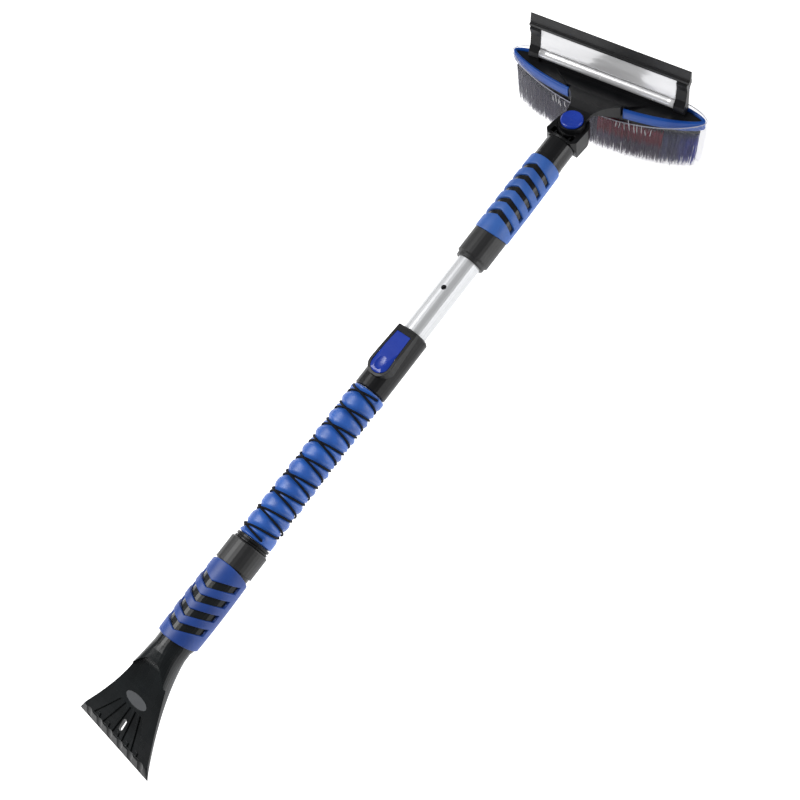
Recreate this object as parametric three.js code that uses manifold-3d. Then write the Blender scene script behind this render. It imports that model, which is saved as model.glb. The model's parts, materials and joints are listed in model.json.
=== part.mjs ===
// Telescopic snow brush with an ice scraper at one end and a swivelling brush and squeegee head at the other.
// Millimetres. The pole lies along +X, from the scraper's edge to the head. +Z is the side of the lock lever.

import * as THREE from 'three';
import { mergeVertices } from 'three/addons/utils/BufferGeometryUtils.js';
import Module from 'manifold-3d';

const wasm = await Module();
wasm.setup();

// General
const GAP = 0.3;
const ROUND = 32;
const SMALL_ROUND = 20;
const FAR = 200;

// Places along the pole, measured from the scraper's edge
const FLARE_END = 112;
const LOWER_SLEEVE_START = 129;
const LOWER_SLEEVE_END = 218.5;
const LOWER_COLLAR_END = 253;
const PLUG_END = 260;
const FOAM_END = 463.5;
const CLAMP_END = 543.5;
const UPPER_START = 644.5;
const UPPER_SLEEVE_START = 685;
const UPPER_SLEEVE_END = 785.2;
const UPPER_CORE_END = 815;
const PIVOT_X = 836;

// Scraper
const EDGE_HALF_WIDTH = 58.5;
const EDGE_Z = -31.5;
const EDGE_THICKNESS = 0.9;
const NECK_RADIUS = 20.3;
const CORE_RADIUS = 21.4;
const EDGE_SKEW = 0.13;
const EDGE_BEVEL = [[-6, -38.2], [0, -31]];
const TOP_FACE = [[7, -22.6], [30, -17], [60, -8], [82, 0.5], [90, 4], [94.5, 10], [97, 26]];
const TOP_SLOPE = Math.atan2(TOP_FACE[2][1] - TOP_FACE[1][1], TOP_FACE[2][0] - TOP_FACE[1][0]);
const BADGE = { x: 51, length: 32, width: 13, thickness: 1.2, recess: 1.8 };
const CHANNEL = { count: 5, pitch: 15.8, low: 9, high: 42, focus: 74, rib: 1.3, depth: 1.8 };
const SLOT = { x: 22, length: 13, width: 5.2 };
const SCOOP_ARCH = { top: 96.5, rise: 17, half: 24 };
const SCALLOP = { count: 6, pitch: 17.5, radius: 11, length: 14, slope: 0.8, height: -31.6 };

// Pole
const OUTER_TUBE = { start: 205, end: 505, outer: 15.9, inner: 14.6 };
const INNER_TUBE = { start: 290, end: 700, outer: 14.2, inner: 12.9 };
const HOLE = { first: 603.5, pitch: 81, count: 4, radius: 3.1 };
const SOCKET = { start: 168, radius: 17 };
const PLUG = { start: 172, spigot: 16.7, bore: 16.2, boreStart: 200, ring: 21, groove: 19.4 };
const GUIDE_LENGTH = 14;

// Grips
const SLEEVE_EDGE_ARCH = 5;
const UPPER_SLEEVE_BOW = { start: 4, end: 2.3 };
const LOWER_SLEEVE = { outer: 24, inner: 21.7 };
const UPPER_SLEEVE = { start: 20.7, end: 19.95, inner: 18.3 };
const LOWER_CHEVRON = { count: 4, first: 139.4, pitch: 18.45, stroke: 9, sweep: 12, reach: 78 };
const UPPER_CHEVRON = { count: 5, first: 772.7, pitch: -16.4, stroke: 6.8, sweep: -8, reach: 82 };
const FOAM = { inner: 16.2, outer: 16.9 };
const CORD = { radius: 1.05, at: 19.1, pitch: 23.25, lean: 0.08, steps: 92, sides: 5 };
const CORD_TURNS = { first: -0.28, last: 8.2 };
const CORD_CROSSING = { first: 269.5, count: 8, facing: 5, swing: 45 };

// Clamp and its lever
const CLAMP = { radius: 19.35, noseTop: 21.8, rim: 3, foot: 1.14, floor: 17 };
const LEVER = { start: 482, end: 534.5, roundHalf: 11.3, flatHalf: 9.2, pivotX: 505, pivotZ: 19.8, pin: 1.5 };
const LOCK_PIN = { x: 522, radius: 2.3 };

// Upper handle
const UPPER_COLLAR = { radius: 19.7, lip: 17.6, inner: 16.3 };
const UPPER_CORE = { radius: 18, neck: 17.75, spigot: 16, mouth: 13.3, mouthDepth: 18 };

// Head joint: the pivot axis crosses the pole's axis at PIVOT_X
const HEAD_PITCH = THREE.MathUtils.degToRad(16);
const HEAD_SWIVEL = THREE.MathUtils.degToRad(8.9);
const YOKE = { back: -24, halfWidth: 20.8, front: 20, bottom: -18, rim: 9.5, corner: 5, wall: 3.4 };
const CUP = { radius: 16.8, floor: -6 };
const BOSS = { radius: 16.3, ring: 15, pocket: 13, pocketFloor: 9.6, top: 16.5, underside: 10 };
const BUTTON = { radius: 12.7, bottom: 13.4, top: 20, dish: 60 };
const PIVOT_PIN = { radius: 3.7, head: 7, bottom: -19.8 };

// Brush head, in its own frame: x forward from the pivot, y across, z along the pivot axis
const BOAT = { half: 122.5, shift: -1.5, steps: 26 };
const BOAT_ARCS = { front: 51, frontCurve: 0.0014, rear: 97, rearCurve: 0.0005 };
const RIM = { width: 4.2, bottom: -13, neckHalf: 33 };
const PLATE_TOP = -2;
const PLATE_INSET = 5;
const NECK_SPREAD = 2.1;
const BASE = { top: -13.3, bottom: -22, inset: 5 };
const BRISTLE = { tip: -75, inset: 4.5, redFrom: -15, redTo: -88, taper: 0.045 };
const GUARD = { outset: 2, wall: 0.9, bottom: -73, front: -17, rise: 14, rear: 2 };
const SQUEEGEE = { foot: -1.7, capInner: 86, capOuter: 99, rubberHalf: 100.5, top: 60 };
const PANEL = { low: 16.2, high: 43.5 };

// ---------------------------------------------------------------- helpers

function facingOut(geometry) {
  const place = geometry.attributes.position;
  const index = geometry.index;
  const a = new THREE.Vector3();
  const b = new THREE.Vector3();
  const c = new THREE.Vector3();
  let volume = 0;
  for (let i = 0; i < index.count; i += 3) {
    a.fromBufferAttribute(place, index.getX(i));
    b.fromBufferAttribute(place, index.getX(i + 1));
    c.fromBufferAttribute(place, index.getX(i + 2));
    volume += a.dot(b.cross(c));
  }
  if (volume < 0) {
    for (let i = 0; i < index.count; i += 3) {
      const first = index.getX(i);
      index.setX(i, index.getX(i + 1));
      index.setX(i + 1, first);
    }
  }
  return geometry;
}

function toSolid(geometry) {
  const bare = geometry.clone();
  bare.deleteAttribute('normal');
  bare.deleteAttribute('uv');
  const merged = facingOut(mergeVertices(bare, 1e-3));
  const mesh = new wasm.Mesh({
    numProp: 3,
    vertProperties: new Float32Array(merged.attributes.position.array),
    triVerts: new Uint32Array(merged.index.array),
  });
  mesh.merge();
  return new wasm.Manifold(mesh);
}

function toGeometry(solid) {
  const mesh = solid.getMesh();
  const geometry = new THREE.BufferGeometry();
  geometry.setAttribute('position', new THREE.BufferAttribute(new Float32Array(mesh.vertProperties), 3));
  geometry.setIndex(new THREE.BufferAttribute(new Uint32Array(mesh.triVerts), 1));
  geometry.computeVertexNormals();
  return geometry;
}

function join(first, ...others) {
  return toGeometry(others.reduce((solid, other) => solid.add(toSolid(other)), toSolid(first)));
}

function cut(first, ...tools) {
  return toGeometry(tools.reduce((solid, tool) => solid.subtract(toSolid(tool)), toSolid(first)));
}

function common(first, ...others) {
  return toGeometry(others.reduce((solid, other) => solid.intersect(toSolid(other)), toSolid(first)));
}

// A solid turned about the X axis, from a closed outline of [x, radius] points.
function turned(outline, segments = ROUND) {
  const points = [...outline, outline[0]].map(([x, radius]) => new THREE.Vector2(radius, x));
  return new THREE.LatheGeometry(points, segments).rotateZ(-Math.PI / 2);
}

function sleeve(start, end, outer, inner, segments = ROUND) {
  return turned([[start, inner], [start, outer], [end, outer], [end, inner]], segments);
}

// A round bar along Z, between two heights.
function post(radius, low, high, segments = SMALL_ROUND) {
  const bar = new THREE.CylinderGeometry(radius, radius, high - low, segments).rotateX(Math.PI / 2);
  return bar.translate(0, 0, (low + high) / 2);
}

function block(low, high) {
  const size = high.map((value, axis) => value - low[axis]);
  const middle = high.map((value, axis) => (value + low[axis]) / 2);
  return new THREE.BoxGeometry(...size).translate(...middle);
}

// An outline in the XY plane, raised from one height to another.
function raised(points, low, high, steps = 1) {
  const shape = new THREE.Shape(points.map(([x, y]) => new THREE.Vector2(x, y)));
  const settings = { depth: high - low, steps, bevelEnabled: false };
  return new THREE.ExtrudeGeometry(shape, settings).translate(0, 0, low);
}

// An outline in the XZ plane, spread across Y.
function across(points, low, high) {
  return raised(points, -high, -low).rotateX(Math.PI / 2);
}

function smooth(points, count) {
  const curve = new THREE.SplineCurve(points.map(([x, y]) => new THREE.Vector2(x, y)));
  return curve.getPoints(count).map((point) => [point.x, point.y]);
}

function arc(centreX, centreY, radius, from, to, count) {
  return Array.from({ length: count + 1 }, (_, i) => {
    const angle = THREE.MathUtils.degToRad(from + ((to - from) * i) / count);
    return [centreX + radius * Math.cos(angle), centreY + radius * Math.sin(angle)];
  });
}

function reshaped(geometry, move) {
  const place = geometry.attributes.position;
  const point = new THREE.Vector3();
  for (let i = 0; i < place.count; i += 1) {
    point.fromBufferAttribute(place, i);
    move(point);
    place.setXYZ(i, point.x, point.y, point.z);
  }
  return geometry;
}

function material(color, roughness, metalness = 0) {
  return new THREE.MeshStandardMaterial({ color, roughness, metalness });
}

function piece(name, geometry, look) {
  const mesh = new THREE.Mesh(geometry, look);
  mesh.name = name;
  return mesh;
}

const blackPlastic = () => material(0x191b1e, 0.45);
const blueRubber = () => material(0x3350b0, 0.6);
const bluePlastic = () => material(0x1d3fb4, 0.35);
const aluminium = () => material(0xc9ccd0, 0.3, 0.9);
const steel = () => material(0xb4b6ba, 0.35, 0.9);

// ---------------------------------------------------------------- ice scraper

// How far a place still is from the round neck: 1 at the edge, 0 from the end of the flare on.
function flare(x) {
  return 1 - THREE.MathUtils.clamp(x, 0, FLARE_END) / FLARE_END;
}

function power(value, exponent) {
  return Math.sign(value) * Math.abs(value) ** exponent;
}

// The scraper's outside: a round neck that spreads and thins into a wide, bent-down edge.
function scraperOutside() {
  const length = LOWER_SLEEVE_START + 1;
  const bar = new THREE.CylinderGeometry(1, 1, length, 36, 17).rotateZ(-Math.PI / 2);
  return reshaped(bar.translate(length / 2, 0, 0), (point) => {
    const spread = flare(point.x);
    const round = Math.hypot(point.y, point.z);
    if (round < 0.01) {
      point.z = spread > 0.5 ? EDGE_Z + EDGE_THICKNESS / 2 : 0;
      return;
    }
    const halfWidth = NECK_RADIUS + (EDGE_HALF_WIDTH - NECK_RADIUS) * spread ** 1.6;
    const bottom = -NECK_RADIUS + (EDGE_Z + NECK_RADIUS) * spread ** 1.6;
    const thickness = EDGE_THICKNESS + (2 * NECK_RADIUS - EDGE_THICKNESS) * (1 - spread) ** 0.6;
    const squareness = 2 / (2 + 3 * spread ** 0.7);
    point.y = halfWidth * power(point.y / round, squareness);
    point.z = bottom + (thickness / 2) * (1 + power(point.z / round, squareness));
  });
}

// Everything above the scraper's hollowed top face, sunk by a depth.
function aboveScoop(depth) {
  const curve = [...EDGE_BEVEL, ...smooth(TOP_FACE, 20)].map(([x, z]) => [x, z - depth]);
  return across([...curve, [curve.at(-1)[0], 40], [curve[0][0], 40]], -FAR, FAR);
}

// In plan, the hollowed face ends in an arch across the neck.
function archedPlan() {
  const rim = Array.from({ length: 21 }, (_, i) => {
    const y = (i / 10 - 1) * SCOOP_ARCH.half;
    return [SCOOP_ARCH.top - SCOOP_ARCH.rise * (y / SCOOP_ARCH.half) ** 2, y];
  });
  const side = rim[0][0];
  return raised([[-60, -90], [side, -90], ...rim, [side, 90], [-60, 90]], -60, 60);
}

function channelTool(row) {
  const middle = (row - (CHANNEL.count - 1) / 2) * CHANNEL.pitch;
  const corner = (x, side) => {
    const share = (CHANNEL.focus - x) / (CHANNEL.focus - CHANNEL.low);
    return [x, middle * share + side * ((CHANNEL.pitch / 2) * share - CHANNEL.rib)];
  };
  const right = [corner(CHANNEL.low, -1), corner(CHANNEL.high, -1)];
  const left = [corner(CHANNEL.high, 1), corner(CHANNEL.low, 1)];
  return common(aboveScoop(CHANNEL.depth), raised([...right, ...left], -40, 20));
}

// A small sloping block that stands at the low end of a channel.
function channelTab(row) {
  const middle = (row - (CHANNEL.count - 1) / 2) * CHANNEL.pitch;
  const outline = [[7.5, middle - 2.6], [13, middle - 2], [13, middle + 2], [7.5, middle + 2.6]];
  return cut(raised(outline, -27, 0), aboveScoop(0.3));
}

function onScoop(geometry, x, z) {
  return geometry.rotateY(-TOP_SLOPE).translate(x, 0, z);
}

function badgeOval(shrink, low, high) {
  const oval = post(1, low, high, 28);
  return oval.scale(BADGE.width / 2 - shrink, BADGE.length / 2 - shrink, 1);
}

function badgeHeight() {
  const [[lowX, lowZ], [highX, highZ]] = [TOP_FACE[1], TOP_FACE[2]];
  return lowZ + ((highZ - lowZ) * (BADGE.x - lowX)) / (highX - lowX);
}

// A shallow hollow in the bevel behind the edge, which leaves the edge itself straight.
function scallopTool(row) {
  const middle = (row - (SCALLOP.count - 1) / 2) * SCALLOP.pitch;
  const bar = new THREE.CylinderGeometry(SCALLOP.radius, SCALLOP.radius, SCALLOP.length, 40);
  const lying = bar.rotateZ(-Math.PI / 2).translate(SCALLOP.length / 2, 0, SCALLOP.radius);
  return lying.rotateY(-SCALLOP.slope).translate(1.2, middle, SCALLOP.height + 1.2);
}

// The blade's edge and everything near it runs slightly askew, more so towards the edge.
function skewed(geometry) {
  return reshaped(geometry, (point) => {
    point.x += EDGE_SKEW * point.y * flare(point.x);
  });
}

function scraperBody() {
  const rows = Array.from({ length: CHANNEL.count }, (_, row) => row);
  const blade = cut(
    scraperOutside(),
    common(aboveScoop(0), archedPlan()),
    ...rows.map(channelTool),
    ...Array.from({ length: SCALLOP.count }, (_, row) => scallopTool(row)),
  );
  const slot = raised(
    [
      ...arc(SLOT.x + (SLOT.length - SLOT.width) / 2, 0, SLOT.width / 2, -90, 90, 6),
      ...arc(SLOT.x - (SLOT.length - SLOT.width) / 2, 0, SLOT.width / 2, 90, 270, 6),
    ],
    -60,
    20,
  );
  const recess = onScoop(badgeOval(0, -BADGE.recess, 12), BADGE.x, badgeHeight());
  const core = turned([
    [LOWER_SLEEVE_START - 7, 0],
    [LOWER_SLEEVE_START - 7, NECK_RADIUS - 0.6],
    [LOWER_SLEEVE_START - 1, CORE_RADIUS],
    [LOWER_COLLAR_END, CORE_RADIUS],
    [LOWER_COLLAR_END, SOCKET.radius],
    [SOCKET.start, SOCKET.radius],
    [SOCKET.start, 0],
  ]);
  const tabs = rows.map((row) => common(channelTab(row), scraperOutside()));
  return skewed(cut(join(blade, core, ...tabs), slot, recess));
}

function scraperBadge() {
  const oval = badgeOval(GAP, GAP - BADGE.recess, GAP - BADGE.recess + BADGE.thickness);
  return skewed(onScoop(oval, BADGE.x, badgeHeight()));
}

function lowerCollar() {
  return turned([
    [LOWER_SLEEVE_END + SLEEVE_EDGE_ARCH + GAP, CORE_RADIUS + GAP],
    [LOWER_SLEEVE_END + SLEEVE_EDGE_ARCH + GAP, LOWER_SLEEVE.outer - 0.8],
    [LOWER_COLLAR_END - 1.2, LOWER_SLEEVE.outer - 0.8],
    [LOWER_COLLAR_END, LOWER_SLEEVE.outer - 2],
    [LOWER_COLLAR_END, CORE_RADIUS + GAP],
  ]);
}

// ---------------------------------------------------------------- grip sleeves

// A chevron-shaped window tool, wrapped round the pole: its point lies on the top line.
function chevronTool(x, { stroke, sweep, reach }) {
  const arm = 8;
  const edge = (shift) =>
    Array.from({ length: 2 * arm + 1 }, (_, i) => {
      const turn = (reach * (i - arm)) / arm;
      return [x + shift + (sweep * Math.abs(turn)) / reach, turn];
    });
  const outline = [...edge(-stroke / 2), ...edge(stroke / 2).reverse()];
  return reshaped(raised(outline, 14, 44, 8), (point) => {
    const angle = THREE.MathUtils.degToRad(point.y);
    point.y = point.z * Math.sin(angle);
    point.z *= Math.cos(angle);
  });
}

function chevrons(pattern) {
  const places = Array.from({ length: pattern.count }, (_, i) => pattern.first + i * pattern.pitch);
  return places.map((place) => chevronTool(place, pattern));
}

// Lets a sleeve's end bow outward over the top line and draw back underneath.
function bowedEnds(geometry, start, end, startBow, endBow) {
  return reshaped(geometry, (point) => {
    const top = point.z / Math.hypot(point.y, point.z);
    if (Math.abs(point.x - start) < 0.01) {
      point.x -= startBow * top;
    }
    if (Math.abs(point.x - end) < 0.01) {
      point.x += endBow * top;
    }
  });
}

function lowerGripSleeve() {
  const tube = sleeve(LOWER_SLEEVE_START, LOWER_SLEEVE_END, LOWER_SLEEVE.outer, LOWER_SLEEVE.inner);
  const bowed = bowedEnds(tube, LOWER_SLEEVE_START, LOWER_SLEEVE_END, SLEEVE_EDGE_ARCH, SLEEVE_EDGE_ARCH);
  return cut(bowed, ...chevrons(LOWER_CHEVRON));
}

function upperGripSleeve() {
  const start = UPPER_SLEEVE_START + GAP;
  const tube = turned([
    [start, UPPER_SLEEVE.inner],
    [start, UPPER_SLEEVE.start],
    [UPPER_SLEEVE_END, UPPER_SLEEVE.end],
    [UPPER_SLEEVE_END, UPPER_SLEEVE.inner],
  ]);
  const bowed = bowedEnds(tube, start, UPPER_SLEEVE_END, UPPER_SLEEVE_BOW.start, UPPER_SLEEVE_BOW.end);
  return cut(bowed, ...chevrons(UPPER_CHEVRON));
}

// ---------------------------------------------------------------- pole

function poleOuterTube() {
  return sleeve(OUTER_TUBE.start, OUTER_TUBE.end, OUTER_TUBE.outer, OUTER_TUBE.inner, 32);
}

function poleInnerTube() {
  const holes = Array.from({ length: HOLE.count }, (_, i) =>
    post(HOLE.radius, 5, 20, 16).translate(HOLE.first - i * HOLE.pitch, 0, 0),
  );
  return cut(sleeve(INNER_TUBE.start, INNER_TUBE.end, INNER_TUBE.outer, INNER_TUBE.inner), ...holes);
}

// The bush that centres the inner tube in the outer tube: it plugs the end and carries a thin flange.
function guideBush() {
  const start = INNER_TUBE.start;
  return turned([
    [start - 4, 0],
    [start - 4, OUTER_TUBE.inner - GAP],
    [start - GAP, OUTER_TUBE.inner - GAP],
    [start - GAP, INNER_TUBE.inner - GAP],
    [start + GUIDE_LENGTH, INNER_TUBE.inner - GAP],
    [start + GUIDE_LENGTH, 0],
  ], 32);
}

// The stepped plug on the pole's lower end, which the scraper's handle slides over.
function polePlug() {
  const shoulder = LOWER_COLLAR_END + GAP;
  return turned([
    [PLUG.start, 0],
    [PLUG.start, PLUG.spigot - 2],
    [PLUG.start + 4, PLUG.spigot],
    [shoulder, PLUG.spigot],
    [shoulder, PLUG.ring - 0.6],
    [shoulder + 0.6, PLUG.ring],
    [shoulder + 2.2, PLUG.ring],
    [shoulder + 2.6, PLUG.groove],
    [shoulder + 3.2, PLUG.groove],
    [shoulder + 3.6, PLUG.ring - 0.2],
    [PLUG_END - 0.6, PLUG.ring - 0.2],
    [PLUG_END, PLUG.ring - 0.8],
    [PLUG_END, PLUG.bore],
    [PLUG.boreStart, PLUG.bore],
    [PLUG.boreStart, 0],
  ], 32);
}

// ---------------------------------------------------------------- foam grip and its cord

function foamGrip() {
  return sleeve(PLUG_END + GAP, FOAM_END - GAP, FOAM.outer, FOAM.inner);
}

// One of the two cords wound round the foam. They cross once a turn near the top line.
class WoundCord extends THREE.Curve {
  constructor(hand) {
    super();
    this.hand = hand;
  }

  getPoint(share, target = new THREE.Vector3()) {
    const turns = CORD_TURNS.first + share * (CORD_TURNS.last - CORD_TURNS.first);
    const turn = turns * 2 * Math.PI;
    const lean = (this.hand * CORD.lean * (1 - Math.cos(turn))) / 2;
    const swing = Math.max(0, 1 - turns / CORD_CROSSING.count) ** 2;
    const facing = THREE.MathUtils.degToRad(CORD_CROSSING.facing + CORD_CROSSING.swing * swing);
    const angle = facing - this.hand * turn;
    const along = CORD_CROSSING.first + CORD.pitch * (turns - lean);
    return target.set(along, CORD.at * Math.sin(angle), CORD.at * Math.cos(angle));
  }
}

function woundCord(hand) {
  const ring = arc(0, 0, CORD.radius, 0, 288, CORD.sides - 1);
  const section = new THREE.Shape(ring.map(([x, y]) => new THREE.Vector2(x, y)));
  const settings = { steps: CORD.steps, bevelEnabled: false, extrudePath: new WoundCord(hand) };
  return new THREE.ExtrudeGeometry(section, settings);
}

function gripCord() {
  return join(woundCord(1), woundCord(-1));
}

// ---------------------------------------------------------------- clamp, lever and lock

// The keyhole outline of the lever, widened by a margin: a round end, then nearly straight sides.
function leverOutline(margin) {
  const half = LEVER.roundHalf + margin;
  const end = LEVER.end + margin;
  return [
    [end, LEVER.flatHalf + margin],
    ...arc(LEVER.start + LEVER.roundHalf, 0, half, 90, 270, 10),
    [end, -LEVER.flatHalf - margin],
  ];
}

function clampHousing() {
  const body = turned([
    [FOAM_END, OUTER_TUBE.outer + GAP],
    [FOAM_END, CLAMP.radius - 1.5],
    [FOAM_END + 1.5, CLAMP.radius],
    [CLAMP_END - 2, CLAMP.radius],
    [CLAMP_END, CLAMP.radius - 2],
    [CLAMP_END, INNER_TUBE.outer + GAP],
    [OUTER_TUBE.end + GAP, INNER_TUBE.outer + GAP],
    [OUTER_TUBE.end + GAP, OUTER_TUBE.outer + GAP],
  ]);
  const noseProfile = [
    [LEVER.start - 12, 10],
    [LEVER.start - 3, 20.8],
    [LEVER.start + 1, CLAMP.noseTop],
    [LEVER.start + 24, CLAMP.noseTop],
    [LEVER.end, CLAMP.radius + 0.9],
    [CLAMP_END - 2.5, CLAMP.radius + 0.5],
    [CLAMP_END - 0.8, CLAMP.radius - 1],
    [CLAMP_END - 0.8, 10],
  ];
  const noseOutline = leverOutline(CLAMP.rim).map(([x, y]) => [x > LEVER.pivotX ? CLAMP_END : x, y]);
  const flared = reshaped(raised(noseOutline, 10, 24, 1), (point) => {
    if (point.z < 11) {
      point.x = LEVER.pivotX + (point.x - LEVER.pivotX) * CLAMP.foot;
      point.y *= CLAMP.foot;
    }
  });
  const outsideTube = cut(flared, turned([[460, 0], [460, 18], [560, 18], [560, 0]]));
  const nose = common(outsideTube, across(noseProfile, -20, 20));
  const pocket = raised(leverOutline(0.4), CLAMP.floor, 30);
  const pinHole = across(arc(LEVER.pivotX, LEVER.pivotZ, LEVER.pin + GAP, 0, 345, 15), -11.9, 11.9);
  const lockHole = post(LOCK_PIN.radius + GAP, 12, 20).translate(LOCK_PIN.x, 0, 0);
  return cut(join(body, nose), pocket, pinHole, lockHole);
}

function lockLever() {
  const profile = [
    ...smooth([
      [LEVER.start - 0.5, 21],
      [LEVER.start + 3, 23],
      [LEVER.start + 12, 23.6],
      [LEVER.start + 30, 22],
      [LEVER.end + 0.5, 19.9],
    ], 14),
    [LEVER.end + 0.5, CLAMP.floor + 0.4],
    [LEVER.pivotX, CLAMP.floor + 0.4],
    [LEVER.start - 0.5, CLAMP.floor + 2.8],
  ];
  const crown = turned([[460, 0], [460, 24], [560, 24], [560, 0]], 80);
  const outside = common(raised(leverOutline(0), 14, 26), across(profile, -20, 20), crown);
  const dimple = new THREE.SphereGeometry(1, 24, 12).scale(9, 6.5, 2).translate(LEVER.start + 12, 0, 24);
  const pinHole = across(arc(LEVER.pivotX, LEVER.pivotZ, LEVER.pin + GAP, 0, 345, 15), -20, 20);
  return cut(outside, dimple, pinHole);
}

function leverPin() {
  return across(arc(LEVER.pivotX, LEVER.pivotZ, LEVER.pin, 0, 345, 15), -11.6, 11.6);
}

function leverSpring() {
  const ring = cut(post(2.6, CLAMP.floor + 0.1, CLAMP.floor + 0.45), post(1.6, 0, 30));
  return ring.translate(LEVER.start + 9, 0, 0);
}

function lockPin() {
  return post(LOCK_PIN.radius, INNER_TUBE.outer + 0.4, CLAMP.floor + 0.1).translate(LOCK_PIN.x, 0, 0);
}

// ---------------------------------------------------------------- upper handle

function upperCollar() {
  const collar = turned([
    [UPPER_START, INNER_TUBE.outer + GAP],
    [UPPER_START, UPPER_COLLAR.lip - 1],
    [UPPER_START + 1, UPPER_COLLAR.lip],
    [UPPER_START + 4.5, UPPER_COLLAR.lip],
    [UPPER_START + 6.5, UPPER_COLLAR.radius],
    [UPPER_SLEEVE_START, UPPER_COLLAR.radius],
    [UPPER_SLEEVE_START, UPPER_COLLAR.inner],
    [UPPER_START + 7, UPPER_COLLAR.inner],
    [UPPER_START + 7, INNER_TUBE.outer + GAP],
  ]);
  return bowedEnds(collar, UPPER_START, UPPER_SLEEVE_START, 0, -UPPER_SLEEVE_BOW.start);
}

function upperCore() {
  const step = UPPER_SLEEVE_START + UPPER_SLEEVE_BOW.start + GAP;
  return turned([
    [UPPER_START + 7 + GAP, INNER_TUBE.outer + GAP],
    [UPPER_START + 7 + GAP, UPPER_CORE.spigot],
    [step, UPPER_CORE.spigot],
    [step, UPPER_CORE.radius],
    [UPPER_SLEEVE_END + 6, UPPER_CORE.radius],
    [UPPER_SLEEVE_END + 7, UPPER_CORE.neck],
    [UPPER_CORE_END, UPPER_CORE.neck],
    [UPPER_CORE_END, UPPER_CORE.mouth],
    [UPPER_CORE_END - UPPER_CORE.mouthDepth, UPPER_CORE.mouth],
    [UPPER_CORE_END - UPPER_CORE.mouthDepth, 0],
    [INNER_TUBE.end + GAP, 0],
    [INNER_TUBE.end + GAP, INNER_TUBE.outer + GAP],
  ]);
}

// ---------------------------------------------------------------- yoke and swivel, in the pitched frame

function intoPitchedFrame(geometry) {
  return geometry.translate(-PIVOT_X, 0, 0).rotateY(-HEAD_PITCH);
}

function yoke() {
  const { back, halfWidth, front, corner } = YOKE;
  const outline = [
    [back, -halfWidth + corner],
    [back + corner, -halfWidth],
    ...arc(0, 0, front, -80, 80, 16),
    [back + corner, halfWidth],
    [back, halfWidth - corner],
  ];
  const lowOutline = outline.map(([x, y]) => [x * 0.93, y * 0.93]);
  const shoulderStart = UPPER_CORE_END + GAP;
  const shoulder = intoPitchedFrame(turned([
    [shoulderStart, 0],
    [shoulderStart, UPPER_CORE.neck + 0.4],
    [shoulderStart + 2.5, UPPER_CORE.neck + 0.8],
    [shoulderStart + 9, UPPER_CORE.neck - 6],
    [shoulderStart + 9, 0],
  ]));
  const spigot = intoPitchedFrame(turned([
    [shoulderStart - UPPER_CORE.mouthDepth + 1, 0],
    [shoulderStart - UPPER_CORE.mouthDepth + 1, UPPER_CORE.mouth - GAP],
    [shoulderStart + 1, UPPER_CORE.mouth - GAP],
    [shoulderStart + 1, 0],
  ]));
  const tubeRoom = intoPitchedFrame(block([shoulderStart - 60, -60, -60], [shoulderStart, 60, 60]));
  const ribs = [-9.5, 0, 9.5].map((y) => block([back, y - 0.9, 3], [-15, y + 0.9, YOKE.rim - 1.5]));
  const pocket = cut(block([back + YOKE.wall, -15, 3], [-12, 15, 22]), ...ribs);
  const body = join(raised(outline, -8, YOKE.rim), raised(lowOutline, YOKE.bottom, -7.5), shoulder);
  const hollowed = cut(
    body,
    post(CUP.radius, CUP.floor, 40, ROUND),
    pocket,
    post(PIVOT_PIN.radius + GAP, -40, 0),
    tubeRoom,
  );
  return join(hollowed, spigot);
}

function pivotPin() {
  return join(
    post(PIVOT_PIN.head, PIVOT_PIN.bottom, YOKE.bottom - GAP),
    post(PIVOT_PIN.radius, PIVOT_PIN.bottom + 0.5, BOSS.pocketFloor - 1.2),
  );
}

// A low disc whose top is hollowed to a shallow bowl for the thumb.
function pivotButton() {
  const { radius, bottom, top, dish } = BUTTON;
  const bowl = new THREE.SphereGeometry(dish, 48, 48).translate(0, 0, top + dish - 1.1);
  const disc = turned([[bottom, 0], [bottom, radius], [top - 1, radius], [top, radius - 1], [top, 0]], 36);
  return cut(disc.rotateY(-Math.PI / 2), bowl);
}

function buttonSpring() {
  return cut(post(8, BOSS.pocketFloor + 0.2, BOSS.pocketFloor + 0.6), post(6.4, 0, 30));
}

// ---------------------------------------------------------------- brush head, in the head's frame

// The boat-shaped outline of the head, grown or shrunk by a margin: a front arc, a rear arc and round ends.
function boat(margin) {
  const side = (sign) =>
    Array.from({ length: BOAT.steps }, (_, i) => {
      const sweep = Math.PI * ((i + 0.5) / BOAT.steps - 0.5);
      const y = (BOAT.half + margin) * Math.sin(sweep);
      const front = BOAT_ARCS.front - margin + BOAT_ARCS.frontCurve * y * y;
      const rear = BOAT_ARCS.rear + margin - BOAT_ARCS.rearCurve * y * y;
      const depth = ((rear - front) / 2) * Math.sqrt(1 - Math.sin(sweep) ** 8);
      return [(front + rear) / 2 + sign * depth, y + BOAT.shift];
    });
  return [...side(-1), ...side(1).reverse()];
}

// The neck in plan: round at the pivot, then spreading towards the plate.
function neckPlan() {
  const reach = 84;
  const edge = Array.from({ length: 9 }, (_, i) => {
    const x = 8 + ((reach - 8) * i) / 8;
    return [x, 13.2 + 62 * ((x - 8) / (reach - 8)) ** NECK_SPREAD];
  });
  return [...edge, ...edge.map(([x, y]) => [x, -y]).reverse()];
}

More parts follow.
